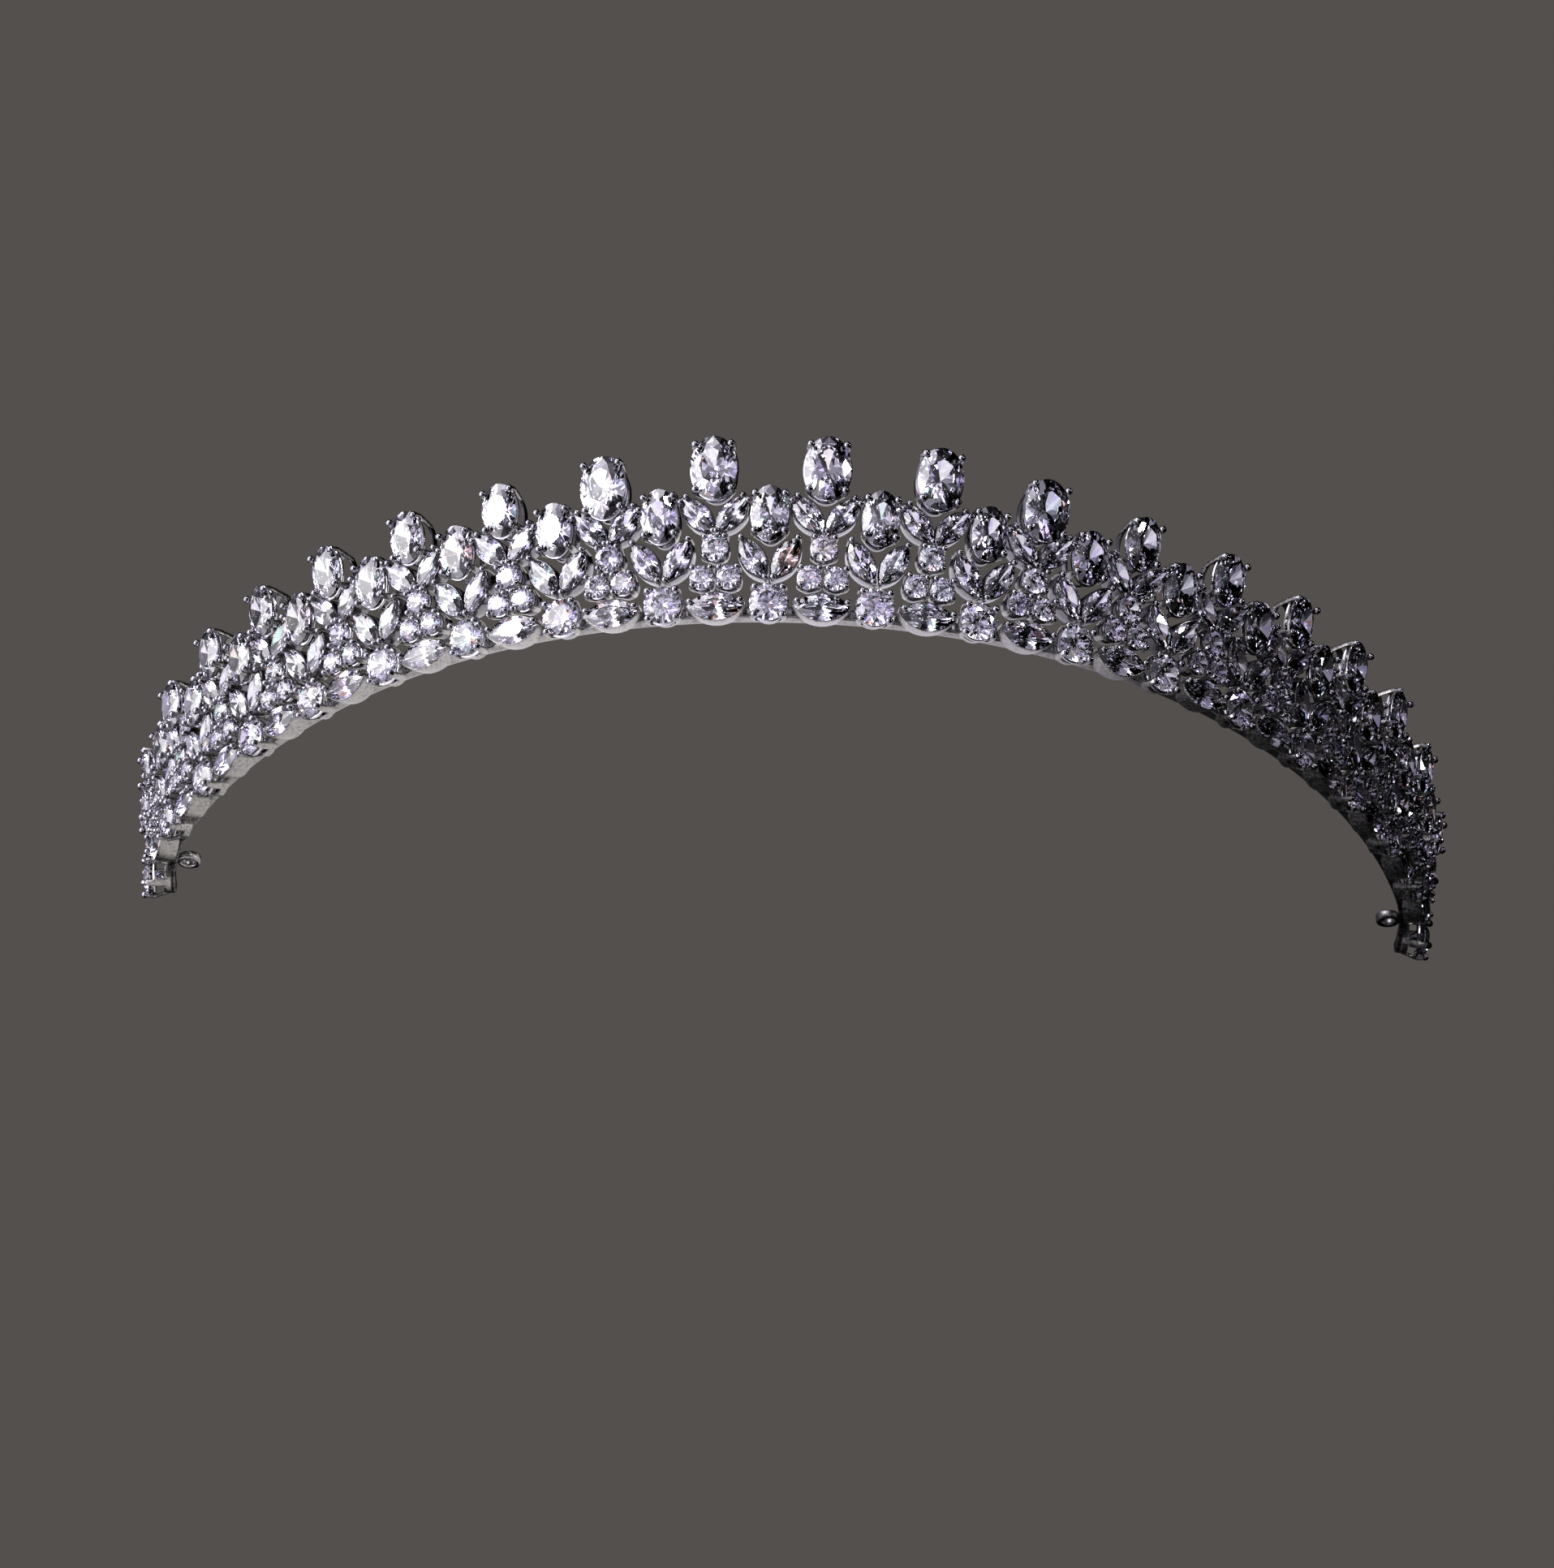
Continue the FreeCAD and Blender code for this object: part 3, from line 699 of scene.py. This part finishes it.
# painted fire: tints painted into the facets for dispersion's coloured flashes and a violet cast
# of the light, each with the share of them that has it or one before it
PAINTED_FIRE_TINTS = [
    (0.56, (0.98, 0.97, 1.0)),
    (0.76, (0.88, 0.84, 1.0)),
    (0.91, (0.7, 0.6, 1.0)),
    (0.945, (0.82, 0.95, 1.0)),
    (0.965, (1.0, 0.88, 0.72)),
    (0.985, (1.0, 0.5, 0.35)),
    (1.0, (0.55, 1.0, 0.8)),
]


def painted_fire_tint():
    """A painted fire tint drawn by its share."""
    draw = rng.random()
    for limit, colour in PAINTED_FIRE_TINTS:
        if draw <= limit:
            return colour
    return PAINTED_FIRE_TINTS[0][1]


polished_metal = rhodium("polished_rhodium", (0.6, 0.6, 0.62), 0.1, 0.25, 0.12)
cast_metal = rhodium("cast_rhodium", (0.42, 0.408, 0.39), 0.26, 0.14, 0.9, mottle=0.5)
# the beads' rhodium, darkened with painted shade; only its low roughness is the metal's own
bead_painted_shade_metal = rhodium("bead_painted_shade_rhodium", (0.29, 0.285, 0.305), 0.05, 0.25, 0.05)
# darkened rhodium for the upper rows' galleries and cup walls: painted shade
painted_shade_metal = rhodium("painted_shade_rhodium", (0.2, 0.196, 0.205), 0.14, 0.2, 0.3)
rail_metal = rhodium("rail_rhodium", (0.33, 0.322, 0.31), 0.22, 0.3, 0.6, mottle=0.55)
setting_metals = [polished_metal, cast_metal, bead_painted_shade_metal, painted_shade_metal]
clear_stone = crystal()

# ---------------------------------------------------------------- stones and settings in place

STONE_NODES = {
    ("crest", "large_oval"): "crest_large_ovals",
    ("crest", "oval"): "crest_ovals",
    ("crest", "small_oval"): "crest_end_ovals",
    ("crest", "upper_round"): "upper_rounds",
    ("crest", "cluster_round"): "cluster_rounds",
    ("crest", "rail_marquise"): "rail_marquises",
    ("crest", "upper_marquise"): "upper_marquises",
    ("valley", "oval"): "valley_ovals",
    ("valley", "rail_round"): "rail_rounds",
    ("valley", "lower_marquise"): "lower_marquises",
}
STONE_TILT = math.radians(1.6)
SETTING_CREASE = 40
RAIL_CREASE = 50
CUT_STONES = {kind: cut_stone(kind) for kind in STONE_HALVES}
SETTINGS = {kind: basket(kind) for kind in BASKETS}
SETTINGS.update({kind: marquise_cup(kind) for kind in CUP_CLAWS})
placed_stones = {node: [] for node in STONE_NODES.values()}


def loose_seat(kind):
    """How a hand-set stone sits: tilted a little, and a round one turned at random."""
    spin = rng.uniform(0, math.pi) if kind.endswith("round") else 0.0
    tilt_x = Matrix.Rotation(rng.gauss(0, STONE_TILT), 4, "X")
    tilt_y = Matrix.Rotation(rng.gauss(0, STONE_TILT), 4, "Y")
    return tilt_x @ tilt_y @ Matrix.Rotation(spin, 4, "Z")


def add_piece(name, part, materials, node, crease):
    """A piece that stands for a CAD node."""
    piece = make_piece(name, part, materials, crease)
    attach(piece, ROOT)
    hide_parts(node)
    return piece


def set_column(row, side, number, column, layout):
    """The cast work of one column as a piece; its stones go to their groups."""
    base = column_matrix(column)
    settings = []
    for kind, across, up, out, turn in layout:
        place = base @ stone_matrix(across, up, out, turn)
        settings.append((SETTINGS[kind], place))
        stone = (CUT_STONES[kind], place @ loose_seat(kind))
        placed_stones[STONE_NODES[(row, kind)]].append(stone)
    tail = f"{side}_{number}" if number else side
    add_piece(f"{row}_claws_{tail}", merge(settings), setting_metals,
              f"{row}_setting_{tail}", SETTING_CREASE)


for crest in range(-LAST_CREST, LAST_CREST + 1):
    side = "left" if crest < 0 else "right"
    set_column("crest", side if crest else "centre", abs(crest), crest, crest_layout(crest))
for side, sign in (("left", -1), ("right", 1)):
    for valley in range(1, LAST_VALLEY + 1):
        column = sign * (valley - 0.5)
        set_column("valley", side, valley, column, valley_layout(column))

for node, group in placed_stones.items():
    stones = add_piece(f"{node}_cut", merge(group), [clear_stone], node, None)
    # each facet gets a painted fire tint at random, in place of dispersion's coloured flashes
    painted_fire = stones.data.attributes.new(PAINTED_FIRE, "FLOAT_COLOR", "CORNER")
    colours = []
    for polygon in stones.data.polygons:
        tint = painted_fire_tint()
        colours += [*tint, 1.0] * polygon.loop_total
    painted_fire.data.foreach_set("color", colours)

# ---------------------------------------------------------------- rail and hairpin loops

ARC_STEP = 1.2
CORNER_STEPS = 2
LOOP_EDGE = 0.2
LOOP_SIDES = 28
STEM_RADII = [0.48, 0.42]
STEM_SIDES = 12


def rounded_bar(half_thick, low, high, edge):
    """Section of a bar with rounded edges as (across, height) points."""
    section = []
    corners = [(1, 1, 0), (-1, 1, 90), (-1, -1, 180), (1, -1, 270)]
    for across, up, start in corners:
        centre_x = across * (half_thick - edge)
        centre_z = (high - edge) if up > 0 else (low + edge)
        for step in range(CORNER_STEPS + 1):
            angle = math.radians(start + 90 / CORNER_STEPS * step)
            x = centre_x + edge * math.cos(angle)
            section.append((x, centre_z + edge * math.sin(angle)))
    return section


def make_rail():
    """The rail from one end of the band to the other."""
    total = sum(radius * sweep for radius, sweep in ARCS)
    count = 2 * math.ceil(total / ARC_STEP) + 1
    low = FACE_LIFT - RAIL_DROP
    section = rounded_bar(RAIL_THICK / 2, low, low + RAIL_TALL, RAIL_EDGE)
    rings = []
    for index in range(count):
        x, y, heading = band_point(total * (2 * index / (count - 1) - 1))
        inward = (-math.sin(heading), math.cos(heading))
        ring = []
        for across, height in section:
            reach = RAIL_SETBACK - across
            ring.append((x + inward[0] * reach, y + inward[1] * reach, height))
        rings.append(ring)
    return loft(rings, closed=False)


def make_loop(side):
    """A flat eyelet with rounded edges, and the stem that joins it to the rail."""
    x, y, heading = band_point(side * LOOP_STATION)
    inwards = RAIL_SETBACK + RAIL_THICK / 2 + LOOP_REACH
    low = FACE_LIFT - RAIL_DROP + LOOP_LIFT
    spot = (x - math.sin(heading) * inwards, y + math.cos(heading) * inwards, low)
    place = Matrix.Translation(spot) @ Matrix.Rotation(heading, 4, "Z")
    middle = (LOOP_OUTER + LOOP_BORE) / 2
    section = rounded_bar((LOOP_OUTER - LOOP_BORE) / 2, 0, LOOP_TALL, LOOP_EDGE)
    rings = []
    for step in range(LOOP_SIDES):
        angle = 2 * math.pi * step / LOOP_SIDES
        ring = []
        for across, height in section:
            reach = middle + across
            ring.append((reach * math.cos(angle), reach * math.sin(angle), height))
        rings.append(ring)
    eyelet = loft(rings, closed=True)
    stem_path = [np.array([0, -reach, LOOP_TALL / 2]) for reach in (LOOP_REACH, middle)]
    stem = wire(stem_path, STEM_RADII, (0, 0, 1), sides=STEM_SIDES)
    return merge([(eyelet, place), (stem, place)])


add_piece("rail_bar", make_rail(), [rail_metal], "base_rail", RAIL_CREASE)
for side, sign in (("left", -1), ("right", 1)):
    add_piece(f"hairpin_eyelet_{side}", make_loop(sign), [rail_metal],
              f"hairpin_loop_{side}", RAIL_CREASE)

# ---------------------------------------------------------------- camera

CAMERA_SPOT = Vector((-16.53, -410.13, -240.19)) * MM
CAMERA_AZIMUTH = math.radians(-1.885)
CAMERA_ELEVATION = math.radians(-30.208)
CAMERA_ROLL = math.radians(1.908)
CAMERA_LENS = 98.67
SENSOR_WIDTH = 36.0
NEAR_CLIP = 0.01

# back points from the tiara to the camera
back = Vector((math.sin(CAMERA_AZIMUTH) * math.cos(CAMERA_ELEVATION),
               -math.cos(CAMERA_AZIMUTH) * math.cos(CAMERA_ELEVATION),
               math.sin(CAMERA_ELEVATION)))
level_right = Vector((0, 0, 1)).cross(back).normalized()
level_up = back.cross(level_right)
camera_right = math.cos(CAMERA_ROLL) * level_right + math.sin(CAMERA_ROLL) * level_up
camera_up = -math.sin(CAMERA_ROLL) * level_right + math.cos(CAMERA_ROLL) * level_up
camera_data = bpy.data.cameras.new("camera")
camera_data.lens = CAMERA_LENS
camera_data.sensor_width = SENSOR_WIDTH
camera_data.clip_start = NEAR_CLIP
camera = bpy.data.objects.new("camera", camera_data)
camera_turn = Matrix((camera_right, camera_up, back)).transposed().to_4x4()
camera.matrix_world = Matrix.Translation(CAMERA_SPOT) @ camera_turn
bpy.context.scene.collection.objects.link(camera)
bpy.context.scene.camera = camera

# ---------------------------------------------------------------- floor, light and backdrop

FLOOR_HALF = 0.6
FLOOR_GAP = 0.00005
FLOOR_COLOUR = (0.7, 0.69, 0.67, 1)
FLOOR_ROUGHNESS = 0.9


def make_floor():
    """A pale floor that the tiara stands on, clear from below so that it hides nothing."""
    corners = [(-FLOOR_HALF, -FLOOR_HALF), (FLOOR_HALF, -FLOOR_HALF),
               (FLOOR_HALF, FLOOR_HALF), (-FLOOR_HALF, FLOOR_HALF)]
    mesh = bpy.data.meshes.new("floor")
    mesh.from_pydata([(x, y, -FLOOR_GAP) for x, y in corners], [], [(0, 1, 2, 3)])
    floor = bpy.data.objects.new("floor", mesh)
    bpy.context.scene.collection.objects.link(floor)
    material, nodes, links = new_material("pale_floor")
    shader = nodes["Principled BSDF"]
    shader.inputs["Base Color"].default_value = FLOOR_COLOUR
    shader.inputs["Roughness"].default_value = FLOOR_ROUGHNESS
    shader.inputs["Specular IOR Level"].default_value = 0.0
    side = nodes.new("ShaderNodeNewGeometry")
    clear = nodes.new("ShaderNodeBsdfTransparent")
    mix = nodes.new("ShaderNodeMixShader")
    links.new(side.outputs["Backfacing"], mix.inputs["Fac"])
    links.new(shader.outputs["BSDF"], mix.inputs[1])
    links.new(clear.outputs["BSDF"], mix.inputs[2])
    links.new(mix.outputs["Shader"], nodes["Material Output"].inputs["Surface"])
    mesh.materials.append(material)
    floor.visible_shadow = False
    floor.visible_glossy = False
    floor.visible_transmission = False


# lights as (name, direction by how far right, up and near, distance, width, height,
# power, colour): right, up and near are the camera's own, and sizes are in metres
SOFTBOXES = [
    ("window", -0.85, 0.35, 0.45, 0.8, 0.72, 0.8, 5.2, (0.95, 0.93, 1.0)),
    ("window_pane", -0.75, 0.5, 0.5, 0.8, 0.14, 0.2, 1.2, (0.95, 0.94, 1.0)),
    ("left_card", -0.95, 0.1, 0.45, 0.2, 0.2, 0.24, 0.14, (1.0, 0.98, 1.0)),
    ("overhead", -0.5, 1.0, 0.2, 0.8, 0.6, 0.4, 2.6, (0.92, 0.88, 1.0)),
    ("right_strip", 0.9, 0.35, 0.3, 0.9, 0.08, 0.12, 1.2, (1.0, 1.0, 1.0)),
    ("right_lamp", 0.35, 0.9, 0.5, 0.9, 0.08, 0.08, 1.1, (1.0, 1.0, 1.0)),
]


def softbox(name, right, up, near, distance, width, height, power, colour):
    """An area light aimed at the tiara."""
    direction = (camera_right * right + camera_up * up + back * near).normalized()
    light = bpy.data.lights.new(name, "AREA")
    light.shape = "RECTANGLE"
    light.size = width
    light.size_y = height
    light.energy = power
    light.color = colour
    lamp = bpy.data.objects.new(name, light)
    turn = direction.to_track_quat("Z", "Y").to_matrix().to_4x4()
    lamp.matrix_world = Matrix.Translation(direction * distance) @ turn
    lamp.visible_camera = False
    bpy.context.scene.collection.objects.link(lamp)


BOUNCE_CENTRE = (0.0, 30.0, -50.0)
BOUNCE_HALVES = (79.0, 66.0, 90.0)
BOUNCE_SEGMENTS = 48
BOUNCE_RINGS = 24
BOUNCE_STOPS = [
    (0.0, (0.74, 0.72, 0.72)),
    (0.3, (1.22, 1.18, 1.25)),
    (0.5, (1.22, 1.17, 1.3)),
    (0.64, (0.85, 0.81, 0.92)),
    (0.74, (0.03, 0.029, 0.03)),
    (1.0, (0.002, 0.002, 0.002)),
]


def make_bounce():
    """A rounded reflector inside and under the band, seen only in the stones and the metal."""
    mesh = bpy.data.meshes.new("bounce")
    ball = bmesh.new()
    bmesh.ops.create_uvsphere(ball, u_segments=BOUNCE_SEGMENTS, v_segments=BOUNCE_RINGS,
                              radius=1.0)
    for vert in ball.verts:
        vert.co = Vector(tuple(vert.co[axis] * BOUNCE_HALVES[axis] + BOUNCE_CENTRE[axis]
                               for axis in range(3))) * MM
    ball.to_mesh(mesh)
    ball.free()
    mesh.materials.append(glow("bounce_glow", BOUNCE_STOPS, BOUNCE_HALVES[0]))
    bounce = bpy.data.objects.new("bounce", mesh)
    bpy.context.scene.collection.objects.link(bounce)
    bounce.visible_camera = False
    bounce.visible_diffuse = False
    bounce.visible_shadow = False


# light of the room by how far a direction turns from the dark side to the bright side,
# and the panes of brighter and darker light that it is broken into
ROOM_AXIS = (-0.85, -0.5, 0.1)
ROOM_STOPS = [
    (0.0, (0.002, 0.002, 0.002)),
    (0.4, (0.004, 0.004, 0.004)),
    (0.52, (0.02, 0.0195, 0.022)),
    (0.63, (0.15, 0.143, 0.17)),
    (0.75, (0.7, 0.655, 0.82)),
    (1.0, (0.56, 0.55, 0.59)),
]
PANE_SCALE = 4.0
PANE_DRAWS = (0.45, 0.8)
PANE_LIGHTS = (0.45, 2.4)
BACKDROP = (0.0885, 0.08, 0.0765)


def make_room():
    """The room's light, and the even backdrop that the camera sees instead of it."""
    world = bpy.data.worlds.new("studio")
    world.use_nodes = True
    nodes = world.node_tree.nodes
    links = world.node_tree.links
    direction = nodes.new("ShaderNodeTexCoord")
    turned = nodes.new("ShaderNodeVectorMath")
    turned.operation = "DOT_PRODUCT"
    turned.inputs[1].default_value = ROOM_AXIS
    links.new(direction.outputs["Generated"], turned.inputs[0])
    across = new_range(nodes, -1.0, 1.0)
    links.new(turned.outputs["Value"], across.inputs["Value"])
    fade = nodes.new("ShaderNodeValToRGB")
    set_stops(fade.color_ramp, ROOM_STOPS)
    links.new(across.outputs["Result"], fade.inputs["Fac"])
    panes = nodes.new("ShaderNodeTexVoronoi")
    panes.inputs["Scale"].default_value = PANE_SCALE
    links.new(direction.outputs["Generated"], panes.inputs["Vector"])
    pane = nodes.new("ShaderNodeSeparateColor")
    links.new(panes.outputs["Color"], pane.inputs["Color"])
    lit = new_range(nodes, *PANE_DRAWS, *PANE_LIGHTS)
    links.new(pane.outputs["Red"], lit.inputs["Value"])
    room = nodes.new("ShaderNodeVectorMath")
    room.operation = "SCALE"
    links.new(fade.outputs["Color"], room.inputs[0])
    links.new(lit.outputs["Result"], room.inputs["Scale"])
    seen = nodes.new("ShaderNodeLightPath")
    backdrop = nodes.new("ShaderNodeMix")
    backdrop.data_type = "RGBA"
    backdrop.inputs["B"].default_value = (*BACKDROP, 1)
    links.new(seen.outputs["Is Camera Ray"], backdrop.inputs["Factor"])
    links.new(room.outputs["Vector"], backdrop.inputs["A"])
    links.new(backdrop.outputs["Result"], nodes["Background"].inputs["Color"])
    bpy.context.scene.world = world


make_floor()
make_bounce()
for facts in SOFTBOXES:
    softbox(*facts)
make_room()
bpy.context.scene.view_settings.view_transform = "Standard"
